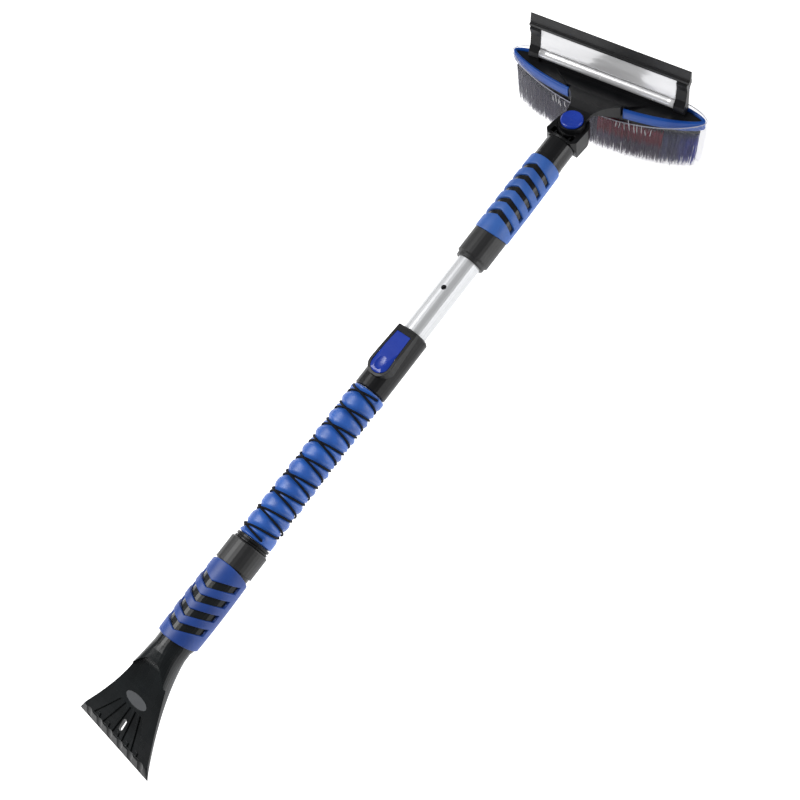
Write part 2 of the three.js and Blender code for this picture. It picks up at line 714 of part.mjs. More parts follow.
function headBody() {
  const plate = raised(boat(-PLATE_INSET), RIM.bottom, PLATE_TOP);
  const rimRoom = cut(
    raised(boat(8), -40, 40),
    raised(boat(-PLATE_INSET), -50, 50),
    block([0, -RIM.neckHalf, -60], [75, RIM.neckHalf, 60]),
  );
  const neckSide = [
    [8, BOSS.underside],
    [22, BOSS.underside],
    [46, -9],
    [56, RIM.bottom + 0.5],
    [86, RIM.bottom + 0.5],
    [86, PLATE_TOP - 0.5],
    [74, PLATE_TOP + 0.3],
    [56, 3],
    [36, 10.5],
    [20, 14.6],
    [8, 15],
  ];
  const neck = common(raised(neckPlan(), -20, 20), across(neckSide, -80, 80));
  const lower = post(BOSS.radius, CUP.floor + GAP, YOKE.rim - 0.4, ROUND);
  const boss = join(lower, post(BOSS.ring, 8, BOSS.top, ROUND));
  return cut(
    join(cut(join(plate, neck), rimRoom), boss),
    post(BOSS.pocket, BOSS.pocketFloor, 40, ROUND),
    post(PIVOT_PIN.radius + GAP, -40, 20),
  );
}

function headRim() {
  const ring = cut(raised(boat(0), RIM.bottom, 0), raised(boat(-RIM.width), -FAR, FAR));
  return cut(ring, block([30, -RIM.neckHalf - GAP, -40], [75, RIM.neckHalf + GAP, 40]));
}

function brushBase() {
  return raised(boat(-BASE.inset), BASE.bottom, BASE.top);
}

// The bristles lean inward across the head, more so towards their tips, and so does their clear sleeve.
function tapered(geometry) {
  return reshaped(geometry, (point) => {
    const depth = THREE.MathUtils.clamp((BASE.bottom - point.z) / (BASE.bottom - BRISTLE.tip), 0, 1);
    point.y *= 1 - BRISTLE.taper * depth;
  });
}

// One stretch of the bristles, between two places across the head.
function bristles(from, to) {
  const all = raised(boat(-BRISTLE.inset), BRISTLE.tip, BASE.bottom - GAP);
  return tapered(common(all, block([0, Math.min(from, to), -FAR], [FAR, Math.max(from, to), FAR])));
}

// The clear sleeve round the bristles. Its front edge dips in the middle and climbs over the rim at the ends.
function bristleGuard() {
  const ring = cut(raised(boat(GUARD.outset), GUARD.bottom, GUARD.rear),
    raised(boat(GUARD.outset - GUARD.wall), -FAR, FAR));
  const edge = Array.from({ length: 17 }, (_, i) => {
    const y = -130 + (260 * i) / 16;
    return [y, GUARD.front + GUARD.rise * (y / BOAT.half) ** 2];
  });
  const above = raised([...edge, [130, 60], [-130, 60]], -90, 0).rotateX(Math.PI / 2).rotateZ(-Math.PI / 2);
  return tapered(cut(ring, above.translate(-10, 0, 0)));
}

// ---------------------------------------------------------------- squeegee, standing on the head's plate

function squeegeeHolder() {
  const rear = [[86.8, SQUEEGEE.foot], [86.8, 4], [86.6, 10], [87.5, 30], [88.6, 44.5]];
  const outline = [[79, SQUEEGEE.foot], ...rear, [85.4, 44.5], [85.4, 30], [84.2, 17], [82, 8], [79, 4]];
  return across(outline, -SQUEEGEE.capInner + GAP, SQUEEGEE.capInner - GAP);
}

// The bright bulging strip along the squeegee's foot.
function squeegeeStrip() {
  const bulge = arc(81.7, 9, 6.2, 105, 235, 8);
  const back = [[79.4, 4.9], [82.2, 9.4], [83, 14.6]];
  return across([...bulge, ...back], -SQUEEGEE.capInner + GAP, SQUEEGEE.capInner - GAP);
}

// The bright hollow-faced panel above the strip.
function squeegeePanel() {
  const { low, high } = PANEL;
  const middle = (low + high) / 2;
  const front = smooth([[80.5, low], [82.6, middle], [83.9, high]], 8);
  const back = [[85.1, high], [85.1, middle], [83.4, low]];
  return across([...front, ...back], -SQUEEGEE.capInner + GAP, SQUEEGEE.capInner - GAP);
}

function squeegeeRubber() {
  const lip = [[88.6, SQUEEGEE.top - 1.5], [87.8, SQUEEGEE.top], [86.6, SQUEEGEE.top]];
  const fold = [[84.6, 47.5], [82.2, 47.2], [82.2, 44], [84.6, 44], [84.6, 46], [85.5, 46]];
  const outline = [[85.5, 45], [88.7, 45], ...lip, ...fold];
  return across(outline, -SQUEEGEE.rubberHalf, SQUEEGEE.rubberHalf);
}

// The hook-shaped cap at one end of the squeegee, with its foot on the plate.
function squeegeeCap(side) {
  const foot = [[76.4, SQUEEGEE.foot], [84.2, SQUEEGEE.foot], [84.2, 0.4], [88.2, 0.4]];
  const rear = [[88.4, 4], [88, 12], [88.4, 32], [90.8, 36.5], [93, 38.6], [92.6, 43.6]];
  const front = [[81.4, 43.6], [80.4, 41.5], [82.6, 32], [80.6, 18], [76.6, 10], [75.4, 4], [76.4, 2]];
  const outline = [...foot, ...rear, ...front];
  const low = side > 0 ? SQUEEGEE.capInner : -SQUEEGEE.capOuter;
  return across(outline, low, low + SQUEEGEE.capOuter - SQUEEGEE.capInner);
}

// ---------------------------------------------------------------- assembly

const tool = new THREE.Group();

tool.add(
  piece('scraper_body', scraperBody(), blackPlastic()),
  piece('scraper_badge', scraperBadge(), material(0x6f7276, 0.55)),
  piece('lower_grip_sleeve', lowerGripSleeve(), blueRubber()),
  piece('lower_collar', lowerCollar(), blackPlastic()),
  piece('pole_plug', polePlug(), blackPlastic()),
  piece('pole_outer_tube', poleOuterTube(), aluminium()),
  piece('foam_grip', foamGrip(), material(0x2f66c4, 0.9)),
  piece('grip_cord', gripCord(), material(0x141518, 0.8)),
  piece('clamp_housing', clampHousing(), blackPlastic()),
  piece('lock_lever', lockLever(), bluePlastic()),
  piece('lever_pin', leverPin(), steel()),
  piece('lever_spring', leverSpring(), steel()),
  piece('lock_pin', lockPin(), steel()),
  piece('pole_inner_tube', poleInnerTube(), aluminium()),
  piece('guide_bush', guideBush(), blackPlastic()),
  piece('upper_collar', upperCollar(), blackPlastic()),
  piece('upper_core', upperCore(), blackPlastic()),
  piece('upper_grip_sleeve', upperGripSleeve(), material(0x3f66cc, 0.6)),
);

const pitched = new THREE.Group();
pitched.position.set(PIVOT_X, 0, 0);
pitched.rotation.y = HEAD_PITCH;
pitched.add(piece('yoke', yoke(), blackPlastic()), piece('pivot_pin', pivotPin(), steel()));
tool.add(pitched);

const head = new THREE.Group();
head.rotation.z = HEAD_SWIVEL;
head.add(
  piece('pivot_button', pivotButton(), bluePlastic()),
  piece('button_spring', buttonSpring(), steel()),
  piece('head_body', headBody(), blackPlastic()),
  piece('head_rim', headRim(), material(0x2a50c0, 0.5)),
  piece('brush_base', brushBase(), blackPlastic()),
  piece('bristles_left', bristles(130, BRISTLE.redFrom + GAP), material(0x4a4a55, 0.9)),
  piece('bristles_middle', bristles(BRISTLE.redFrom, BRISTLE.redTo), material(0x6a1026, 0.9)),
  piece('bristles_right', bristles(BRISTLE.redTo - GAP, -130), material(0x2a3a90, 0.9)),
  piece('bristle_guard', bristleGuard(), material(0xe8ecee, 0.15)),
  piece('squeegee_holder', squeegeeHolder(), blackPlastic()),
  piece('squeegee_strip', squeegeeStrip(), material(0xdadcdf, 0.12, 0.95)),
  piece('squeegee_panel', squeegeePanel(), material(0xd0d2d6, 0.1, 0.95)),
  piece('squeegee_rubber', squeegeeRubber(), material(0x17181a, 0.7)),
  piece('squeegee_cap_left', squeegeeCap(1), blackPlastic()),
  piece('squeegee_cap_right', squeegeeCap(-1), blackPlastic()),
);
pitched.add(head);

// The origin is the middle of the tool's underside, where it lies on a floor.
const bounds = new THREE.Box3().setFromObject(tool, true);
const middle = bounds.getCenter(new THREE.Vector3());
tool.position.set(-middle.x, -middle.y, -bounds.min.z);
tool.updateMatrixWorld(true);

export default tool;
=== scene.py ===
"""Looks for a telescopic snow brush with an ice scraper, a foam grip and a swivelling brush head.

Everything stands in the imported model's own frame, in metres. Sizes below are in millimetres in the pole's
frame, where X runs from the scraper's edge to the head and the pole's axis is Y = Z = 0, or in the head's
frame, where x runs forward from the pivot, y across the head and z along the pivot axis.
"""

import json
import math
import random

import bpy
from mathutils import Matrix, Vector


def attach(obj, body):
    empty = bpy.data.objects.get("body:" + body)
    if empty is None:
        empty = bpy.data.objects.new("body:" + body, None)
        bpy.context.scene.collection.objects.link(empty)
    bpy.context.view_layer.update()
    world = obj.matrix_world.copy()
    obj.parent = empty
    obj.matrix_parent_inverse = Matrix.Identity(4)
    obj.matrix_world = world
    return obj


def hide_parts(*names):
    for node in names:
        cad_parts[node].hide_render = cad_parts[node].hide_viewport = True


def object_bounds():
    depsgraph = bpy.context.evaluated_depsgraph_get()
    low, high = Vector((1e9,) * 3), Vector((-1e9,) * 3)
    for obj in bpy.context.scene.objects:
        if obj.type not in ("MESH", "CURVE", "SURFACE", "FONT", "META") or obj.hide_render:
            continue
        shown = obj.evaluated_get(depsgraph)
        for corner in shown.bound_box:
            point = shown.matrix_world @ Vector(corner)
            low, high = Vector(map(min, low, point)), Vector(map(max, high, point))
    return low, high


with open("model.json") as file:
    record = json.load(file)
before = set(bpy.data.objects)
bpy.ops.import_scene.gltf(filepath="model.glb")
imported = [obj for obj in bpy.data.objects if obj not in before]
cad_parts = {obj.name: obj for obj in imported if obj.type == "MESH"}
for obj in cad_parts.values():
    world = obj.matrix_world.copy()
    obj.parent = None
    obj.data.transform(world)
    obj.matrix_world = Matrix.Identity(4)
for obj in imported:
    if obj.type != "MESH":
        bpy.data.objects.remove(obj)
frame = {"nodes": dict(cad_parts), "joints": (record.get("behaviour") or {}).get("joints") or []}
cad_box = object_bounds()

MM = 0.001
JOINTS = {joint["name"]: joint for joint in frame["joints"]}

# ---------------------------------------------------------------- sizes

# Camera: its lens in millimetres, and its place from the head's pivot in metres
LENS = 86.1
CAMERA_OFFSET = Vector((-0.6566, -0.9034, 1.8508))
CAMERA_RIGHT = Vector((0.6043, -0.7541, -0.2573))
CAMERA_UP = Vector((0.7838, 0.5045, 0.3621))

# Places that the joints give, in the pole's frame
LEVER_PIVOT = Vector((505, 0, 19.8))
HEAD_TURN = math.radians(8.9)

# Foam grip and its cords
FOAM_START = 260.3
FOAM_END = 463.2
FOAM = {"neck": 16.4, "valley": 17.5, "crest": 20.9, "spread": 3.6}
CORD = {"radius": 1.25, "at": 18.9, "lift": 1.9, "pitch": 23.25, "first_turn": -0.28, "last_turn": 8.2,
        "lean": 0.08, "steps": 600}
CROSSING = {"first": 269.5, "count": 8, "facing": 5, "swing": 45}

# Grip sleeves: a chevron's stroke is its width along the pole, and its arms sweep along X
LOWER_SLEEVE = {
    "start": 129, "end": 218.5, "bows": (5, 5), "radii": (24, 24), "core": 21.4, "grows": 0.7,
    "first": 139.4, "pitch": 18.45, "count": 4, "stroke": 9, "sweep": 12, "reach": 78,
}
UPPER_SLEEVE = {
    "start": 685.3, "end": 785.2, "bows": (4, 2.3), "radii": (20.7, 19.95), "core": 18, "grows": 0.35,
    "first": 707.1, "pitch": 16.4, "count": 5, "stroke": 6.8, "sweep": -8, "reach": 82,
}

# Brush head
BOAT = {"half": 122.5, "shift": -1.5, "front": 51, "front_curve": 0.0014, "rear": 97, "rear_curve": 0.0005}
RIM = {"width": 4.2, "bottom": -13, "neck": 33.3}
BRISTLE = {"root": -22.3, "tip": -74, "inset": 4.5, "pitch": 4.3, "per_tuft": 18, "radius": 0.27,
           "taper": 0.045}
GUARD = {"outset": 2, "wall": 0.9, "bottom": -73, "front": -19, "rise": 16, "rear": 2}
SQUEEGEE_HALF = 85.7
PANEL = {"low": 16.2, "tall": 27.3, "front": 80.6, "lean": 3.9, "hollow": 0.6, "wave_at": 26, "steps": 14}
STRIP = {"x": 81.7, "height": 9, "radius": 6.2, "from": 105, "sweep": 130, "steps": 18}
RED_FROM = -2
RED_TO = -80
STRAY_PLACES = (55, 51, 48, 45, 38, 33, -27, -31, -38, -44, -50, -53, -58, -63, -68)

# How far the floor goes on each side, in metres
FLOOR_REACH = 40.0

SEED = 11


# ---------------------------------------------------------------- frames

def pole_origin():
    return Vector(JOINTS["lever_press"]["pos_m"]) - LEVER_PIVOT * MM


def head_matrix():
    """The head's frame: the pole's frame pitched about Y by the pivot axis, then turned about that axis."""
    swivel = JOINTS["head_swivel"]
    up = Vector(swivel["axis"]).normalized()
    if up.z < 0:
        up.negate()
    pitch = Vector((0, 0, 1)).rotation_difference(up).to_matrix().to_4x4()
    return Matrix.Translation(Vector(swivel["pos_m"])) @ pitch @ Matrix.Rotation(HEAD_TURN, 4, "Z")


POLE = Matrix.Translation(pole_origin())
HEAD = head_matrix()


# ---------------------------------------------------------------- mesh helpers

def smoothstep(value, low, high):
    share = min(1.0, max(0.0, (value - low) / (high - low)))
    return share * share * (3 - 2 * share)


def build(name, place, points, faces, look, body, replaces=(), shares=None, uvs=None):
    """A piece from points in millimetres, riding on a body. Its material reads each point's value in shares."""
    mesh = bpy.data.meshes.new(name)
    mesh.from_pydata([place @ (Vector(point) * MM) for point in points], [], faces)
    mesh.validate()
    for polygon in mesh.polygons:
        polygon.use_smooth = True
    if shares:
        layer = mesh.attributes.new("share", "FLOAT", "POINT")
        layer.data.foreach_set("value", shares)
    if uvs:
        layer = mesh.uv_layers.new(name="UVMap")
        for loop in mesh.loops:
            layer.data[loop.index].uv = uvs[loop.vertex_index]
    mesh.materials.append(look)
    piece = bpy.data.objects.new(name, mesh)
    bpy.context.scene.collection.objects.link(piece)
    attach(piece, body)
    if replaces:
        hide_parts(*replaces)
    return piece


def grid_faces(rows, columns, closed_rows=False, closed_columns=True):
    """Faces of a grid of points stored row by row."""
    faces = []
    for row in range(rows if closed_rows else rows - 1):
        below = (row + 1) % rows
        for column in range(columns if closed_columns else columns - 1):
            beside = (column + 1) % columns
            corners = ((row, column), (row, beside), (below, beside), (below, column))
            faces.append(tuple(across * columns + along for across, along in corners))
    return faces


def round_the_pole(x, radius, angle):
    """A point at an angle from the pole's top line, towards +Y."""
    return (x, radius * math.sin(angle), radius * math.cos(angle))


def tube(points, radius, sides):
    """Points and faces of a tube along a line of points, closed at both ends, with the length so far as u."""
    ring_points, uvs = [], []
    travelled = 0.0
    normal = Vector((1, 0, 0))
    for i, point in enumerate(points):
        ahead = points[min(i + 1, len(points) - 1)]
        behind = points[max(i - 1, 0)]
        along = (ahead - behind).normalized()
        normal = (normal - along * normal.dot(along)).normalized()
        across = along.cross(normal)
        travelled += (point - behind).length
        for side in range(sides):
            angle = 2 * math.pi * side / sides
            ring_points.append(point + radius * (normal * math.cos(angle) + across * math.sin(angle)))
            uvs.append((travelled, side / sides))
    faces = grid_faces(len(points), sides)
    faces.append(tuple(range(sides)))
    faces.append(tuple(reversed(range(len(ring_points) - sides, len(ring_points)))))
    return ring_points, faces, uvs


# ---------------------------------------------------------------- material helpers

class Look:
    """A procedural material, built up from a Principled shader."""

    def __init__(self, name, **sockets):
        self.material = bpy.data.materials.new(name)
        self.material.use_nodes = True
        self.tree = self.material.node_tree
        self.shader = self.tree.nodes["Principled BSDF"]
        for socket, value in sockets.items():
            self.shader.inputs[socket.replace("_", " ")].default_value = value
        self.coordinates = self.tree.nodes.new("ShaderNodeTexCoord")
        self.normal = None

    def node(self, kind, **values):
        node = self.tree.nodes.new(kind)
        for key, value in values.items():
            if key in node.inputs:
                node.inputs[key].default_value = value
            else:
                setattr(node, key, value)
        return node

    def link(self, source, target):
        self.tree.links.new(source, target)

    def noise(self, scale, stretch=(1, 1, 1), detail=4.0, source="Object", distortion=0.0):
        mapping = self.node("ShaderNodeMapping")
        mapping.inputs["Scale"].default_value = stretch
        self.link(self.coordinates.outputs[source], mapping.inputs["Vector"])
        noise = self.node("ShaderNodeTexNoise", Scale=scale, Detail=detail, Distortion=distortion)
        self.link(mapping.outputs["Vector"], noise.inputs["Vector"])
        return noise.outputs["Fac"]

    def share(self, name="share"):
        return self.node("ShaderNodeAttribute", attribute_name=name).outputs["Fac"]

    def ramp(self, factor, *stops):
        ramp = self.node("ShaderNodeValToRGB")
        while len(ramp.color_ramp.elements) < len(stops):
            ramp.color_ramp.elements.new(0.5)
        for element, (place, colour) in zip(ramp.color_ramp.elements, stops):
            element.position = place
            element.color = (*colour, 1)
        self.link(factor, ramp.inputs["Fac"])
        return ramp.outputs["Color"]

    def blend(self, factor, first, second):
        mix = self.node("ShaderNodeMix", data_type="RGBA")
        self.link(factor, mix.inputs["Factor"])
        self.link(first, mix.inputs["A"])
        self.link(second, mix.inputs["B"])
        return mix.outputs["Result"]

    def colour(self, output):
        self.link(output, self.shader.inputs["Base Color"])

    def roughness(self, factor, low, high):
        spread = self.node("ShaderNodeMapRange")
        spread.inputs["To Min"].default_value = low
        spread.inputs["To Max"].default_value = high
        self.link(factor, spread.inputs["Value"])
        self.link(spread.outputs["Result"], self.shader.inputs["Roughness"])

    def round_edges(self, radius):
        bevel = self.node("ShaderNodeBevel", samples=4)
        bevel.inputs["Radius"].default_value = radius
        self.normal = bevel.outputs["Normal"]
        self.link(self.normal, self.shader.inputs["Normal"])

    def bump(self, height, strength, distance):
        bump = self.node("ShaderNodeBump")
        bump.inputs["Strength"].default_value = strength
        bump.inputs["Distance"].default_value = distance
        self.link(height, bump.inputs["Height"])
        if self.normal:
            self.link(self.normal, bump.inputs["Normal"])
        self.normal = bump.outputs["Normal"]
        self.link(self.normal, self.shader.inputs["Normal"])


def moulded(name, dark, light, roughness, grain=0.12, edge=0.0006, specular=0.5):
    """Moulded plastic or rubber: a cloudy colour, uneven gloss, a fine grain and rounded edges."""
    look = Look(name, Specular_IOR_Level=specular)
    look.colour(look.ramp(look.noise(38, detail=5), (0.3, dark), (0.7, light)))
    look.roughness(look.noise(90, detail=3), *roughness)
    if edge:
        look.round_edges(edge)
    look.bump(look.noise(1700, detail=2), grain, 0.00012)
    return look.material


def black_plastic():
    dark, light = (0.004, 0.0042, 0.005), (0.008, 0.0083, 0.0092)
    return moulded("black_moulding", dark, light, (0.3, 0.42), specular=0.26)


def scraper_plastic():
    """Harder and glossier than the other black plastic, with faint drag marks along the blade."""
    look = Look("scraper_moulding", Specular_IOR_Level=0.32)
    clouds = look.noise(30, detail=6)
    look.colour(look.ramp(clouds, (0.3, (0.004, 0.005, 0.0056)), (0.72, (0.009, 0.0115, 0.013))))
    look.roughness(look.noise(60, stretch=(0.35, 2, 2), detail=5), 0.2, 0.34)
    look.round_edges(0.0005)
    look.bump(look.noise(220, stretch=(0.3, 2, 2), detail=5), 0.08, 0.0002)
    return look.material


def foam():
    look = Look("foam_skin", Specular_IOR_Level=0.7, Sheen_Weight=0.12, Sheen_Roughness=0.4)
    look.colour(look.ramp(look.noise(60, detail=6), (0.28, (0.01, 0.08, 0.38)), (0.72, (0.022, 0.135, 0.56))))
    look.roughness(look.noise(130, detail=4), 0.34, 0.46)
    pores = look.node("ShaderNodeTexVoronoi", Scale=1500.0)
    look.link(look.coordinates.outputs["Object"], pores.inputs["Vector"])
    look.bump(pores.outputs["Distance"], 0.3, 0.0003)
    look.bump(look.noise(240, detail=5), 0.25, 0.0004)
    return look.material


def cord_braid():
    """Braided cord: two crossing sets of diagonal strands, from the length and turn that its points carry. Its
    colour is darker in the grooves between the strands: painted shade.
    """
    look = Look("braided_cord", Specular_IOR_Level=0.15)
    heights = []
    for lean in (1, -1):
        mapping = look.node("ShaderNodeMapping")
        mapping.inputs["Scale"].default_value = (0.55, lean * 2.0, 1)
        look.link(look.coordinates.outputs["UV"], mapping.inputs["Vector"])
        wave = look.node("ShaderNodeTexWave", Scale=1.0, wave_profile="SIN", bands_direction="DIAGONAL")
        look.link(mapping.outputs["Vector"], wave.inputs["Vector"])
        heights.append(wave.outputs["Fac"])
    crossing = look.node("ShaderNodeMath", operation="MAXIMUM")
    look.link(heights[0], crossing.inputs[0])
    look.link(heights[1], crossing.inputs[1])
    strands = crossing.outputs["Value"]
    # Colour follows the strands' height: darker in the grooves between them, which is painted shade.
    look.colour(look.ramp(strands, (0.2, (0.002, 0.002, 0.004)), (0.9, (0.01, 0.012, 0.018))))
    look.roughness(look.noise(300), 0.55, 0.8)
    look.bump(strands, 0.7, 0.0004)
    return look.material


def aluminium():
    """Satin anodised tube with fine lines along the pole."""
    look = Look("drawn_aluminium", Metallic=0.5)
    lines = look.noise(60, stretch=(0.05, 9, 9), detail=6)
    look.colour(look.ramp(lines, (0.3, (0.6, 0.61, 0.625)), (0.7, (0.7, 0.71, 0.725))))
    look.roughness(look.noise(40, stretch=(0.1, 5, 5), detail=4), 0.36, 0.46)
    look.bump(lines, 0.1, 0.0002)
    return look.material


def steel():
    look = Look("plain_steel", Metallic=1.0)
    look.colour(look.ramp(look.noise(200), (0.3, (0.42, 0.43, 0.45)), (0.7, (0.56, 0.57, 0.59))))
    look.roughness(look.noise(500), 0.25, 0.4)
    look.bump(look.noise(900), 0.1, 0.0001)
    return look.material


def mirror_film():
    """Silvered film: nearly a mirror, gently rippled along its length. Its colour gets lighter and darker with
    the ripples: painted reflection streaks.
    """
    look = Look("silvered_film", Metallic=0.35)
    ripples_and_painted_streaks = look.noise(9, stretch=(1, 0.5, 2.6), detail=2, distortion=0.8)
    # The colour follows the ripples: its darker and lighter streaks are painted reflections.
    look.colour(look.ramp(ripples_and_painted_streaks, (0.25, (0.66, 0.66, 0.67)), (0.75, (0.8, 0.8, 0.81))))
    look.roughness(look.noise(50), 0.16, 0.26)
    look.bump(ripples_and_painted_streaks, 0.6, 0.004)
    return look.material


def silver_strip():
    """The bulging strip's satin silver skin."""
    look = Look("satin_silver", Metallic=0.5)
    clouds = look.noise(20, stretch=(1, 0.2, 1))
    look.colour(look.ramp(clouds, (0.3, (0.76, 0.76, 0.77)), (0.7, (0.86, 0.86, 0.87))))
    look.roughness(look.noise(60), 0.2, 0.32)
    look.bump(look.noise(30, detail=2), 0.1, 0.001)
    return look.material


def clear_film(name="clear_film", faintest=0.04, strongest=0.5):
    """Thin clear film: it shows most where it is seen edge on."""
    look = Look(name, Specular_IOR_Level=0.7)
    facing = look.node("ShaderNodeLayerWeight", Blend=0.25)
    edge_on = look.node("ShaderNodeMath", operation="POWER")
    edge_on.inputs[1].default_value = 2.5
    look.link(facing.outputs["Facing"], edge_on.inputs[0])
    opacity = look.node("ShaderNodeMapRange")
    opacity.inputs["To Min"].default_value = faintest
    opacity.inputs["To Max"].default_value = strongest
    look.link(edge_on.outputs["Value"], opacity.inputs["Value"])
    look.link(opacity.outputs["Result"], look.shader.inputs["Alpha"])
    look.colour(look.ramp(look.noise(25), (0.3, (0.46, 0.46, 0.54)), (0.7, (0.54, 0.54, 0.61))))
    look.roughness(look.noise(70), 0.05, 0.16)
    look.bump(look.noise(14, detail=3), 0.2, 0.002)
    return look.material


def bristle_look(name, stops, end_colour=None):
    """Bristles: dark at the root, which is painted shade near the base, and pale at the tip, with a tone that
    changes from strand to strand.
    """
    look = Look(name, Specular_IOR_Level=0.2)
    along = look.ramp(look.share(), *stops)
    if end_colour:
        axes = look.node("ShaderNodeSeparateXYZ")
        look.link(look.coordinates.outputs["Object"], axes.inputs["Vector"])
        outward = look.node("ShaderNodeMapRange")
        outward.inputs["From Min"].default_value = -0.094
        outward.inputs["From Max"].default_value = -0.108
        look.link(axes.outputs["Y"], outward.inputs["Value"])
        along = look.blend(outward.outputs["Result"], along, look.ramp(look.share(), *end_colour))
    clouds = look.noise(700, stretch=(1, 1, 0.12))
    shade = look.ramp(clouds, (0.3, (0.65, 0.65, 0.65)), (0.7, (1.2, 1.2, 1.2)))
    mix = look.node("ShaderNodeMix", data_type="RGBA", blend_type="MULTIPLY")
    mix.inputs["Factor"].default_value = 0.8
    look.link(along, mix.inputs["A"])
    look.link(shade, mix.inputs["B"])
    look.colour(mix.outputs["Result"])
    look.roughness(look.noise(400), 0.35, 0.55)
    return look.material


# Colour stops along a bristle from root to tip. The dark stops at the root, on the pale strays too, are painted
# shade near the base.
PALE_TIP = (0.98, (0.45, 0.43, 0.47))
GREY_STOPS = ((0.0, (0.006, 0.005, 0.009)), (0.25, (0.04, 0.035, 0.055)), (0.9, (0.062, 0.056, 0.085)),
              PALE_TIP)
RED_STOPS = ((0.0, (0.02, 0.0005, 0.002)), (0.12, (0.2, 0.0005, 0.012)), (0.42, (0.16, 0.001, 0.014)),
             (0.6, (0.08, 0.06, 0.095)), (0.9, (0.08, 0.06, 0.095)), PALE_TIP)
MAUVE_STOPS = ((0.0, (0.01, 0.01, 0.03)), (0.25, (0.05, 0.055, 0.13)), (0.9, (0.06, 0.06, 0.13)), PALE_TIP)
BLUE_STOPS = ((0.0, (0.006, 0.01, 0.06)), (0.25, (0.01, 0.018, 0.26)), (0.9, (0.014, 0.024, 0.3)), PALE_TIP)
STRAY_STOPS = ((0.0, (0.4, 0.38, 0.4)), (0.3, (0.78, 0.76, 0.78)), (1.0, (0.85, 0.83, 0.85)))

LOOKS = {
    "black_plastic": black_plastic(),
    "grey_badge": moulded("badge_plate", (0.07, 0.074, 0.08), (0.1, 0.105, 0.112), (0.5, 0.65), grain=0.3),
    "deep_blue_grip": moulded("deep_blue_rubber", (0.01, 0.048, 0.25), (0.017, 0.07, 0.33), (0.4, 0.52), 0.2,
                              edge=0),
    "bright_blue_grip": moulded("bright_blue_rubber", (0.025, 0.1, 0.38), (0.038, 0.135, 0.47), (0.4, 0.52),
                                grain=0.2, edge=0),
    "blue_foam": foam(),
    "black_cord": cord_braid(),
    "blue_plastic": moulded("blue_moulding", (0.007, 0.035, 0.34), (0.012, 0.05, 0.42), (0.2, 0.32)),
    "blue_rim": moulded("blue_rim_moulding", (0.004, 0.05, 0.27), (0.008, 0.072, 0.34), (0.26, 0.38), edge=0,
                        specular=0.3),
    "aluminium": aluminium(),
    "steel": steel(),
    "grey_bristle": bristle_look("grey_bristles", GREY_STOPS),
    "red_bristle": bristle_look("red_bristles", RED_STOPS),
    "blue_bristle": bristle_look("blue_bristles", MAUVE_STOPS, BLUE_STOPS),
    "clear_film": clear_film(),
    "mirror_film": mirror_film(),
    "black_rubber": moulded("black_rubber", (0.006, 0.006, 0.007), (0.011, 0.011, 0.012), (0.4, 0.55), 0.25,
                            edge=0.0005),
}
SCRAPER_LOOK = scraper_plastic()
SATIN_LOOK = moulded("satin_black_moulding", (0.005, 0.0052, 0.006), (0.01, 0.0104, 0.0115), (0.42, 0.54),
                     specular=0.6)
GLOSSY_LOOK = moulded("glossy_black_moulding", (0.004, 0.0042, 0.005), (0.008, 0.0083, 0.0092), (0.2, 0.3),
                      specular=0.4)
STRIP_LOOK = silver_strip()
FILM_EDGE = clear_film("film_edge", 0.45, 0.9)
STRAY_LOOK = bristle_look("stray_bristles", STRAY_STOPS)


# ---------------------------------------------------------------- CAD nodes that keep their shape

NODE_LOOKS = {
    "black_plastic": [
        "pole_plug", "clamp_housing", "guide_bush", "yoke", "head_body", "brush_base", "squeegee_holder",
        "squeegee_cap_left", "squeegee_cap_right",
    ],
    "grey_badge": ["scraper_badge"],
    "blue_plastic": ["lock_lever", "pivot_button"],
    "aluminium": ["pole_outer_tube", "pole_inner_tube"],
    "steel": ["lever_pin", "lever_spring", "lock_pin", "pivot_pin", "button_spring"],
    "black_rubber": ["squeegee_rubber"],
}


def smooth_by_angle():
    """A modifier's node group that shades faces smoothly across the edges that are nearly flat."""
    group = bpy.data.node_groups.new("smooth_by_angle", "GeometryNodeTree")
    group.interface.new_socket("Geometry", in_out="INPUT", socket_type="NodeSocketGeometry")
    group.interface.new_socket("Geometry", in_out="OUTPUT", socket_type="NodeSocketGeometry")
    start = group.nodes.new("NodeGroupInput")
    end = group.nodes.new("NodeGroupOutput")
    faces = group.nodes.new("GeometryNodeSetShadeSmooth")
    edges = group.nodes.new("GeometryNodeSetShadeSmooth")
    edges.domain = "EDGE"
    edges.inputs["Shade Smooth"].default_value = False
    angle = group.nodes.new("GeometryNodeInputMeshEdgeAngle")
    sharp = group.nodes.new("FunctionNodeCompare")
    sharp.operation = "GREATER_THAN"
    sharp.inputs["B"].default_value = math.radians(28)
    group.links.new(start.outputs["Geometry"], faces.inputs["Geometry"])
    group.links.new(faces.outputs["Geometry"], edges.inputs["Geometry"])
    group.links.new(angle.outputs["Unsigned Angle"], sharp.inputs["A"])
    group.links.new(sharp.outputs["Result"], edges.inputs["Selection"])
    group.links.new(edges.outputs["Geometry"], end.inputs["Geometry"])
    return group


SMOOTHING = smooth_by_angle()


def dress(node, look):
    part = frame["nodes"][node]
    part.modifiers.new("smooth_by_angle", "NODES").node_group = SMOOTHING
    if part.material_slots:
        for slot in part.material_slots:
            slot.material = look
    else:
        part.data.materials.append(look)


def dress_nodes():
    for slot, nodes in NODE_LOOKS.items():
        for node in nodes:
            dress(node, LOOKS[slot])
    dress("scraper_body", SCRAPER_LOOK)
    dress("upper_core", GLOSSY_LOOK)
    for node in ("lower_collar", "upper_collar"):
        dress(node, SATIN_LOOK)


# ---------------------------------------------------------------- foam grip and cords

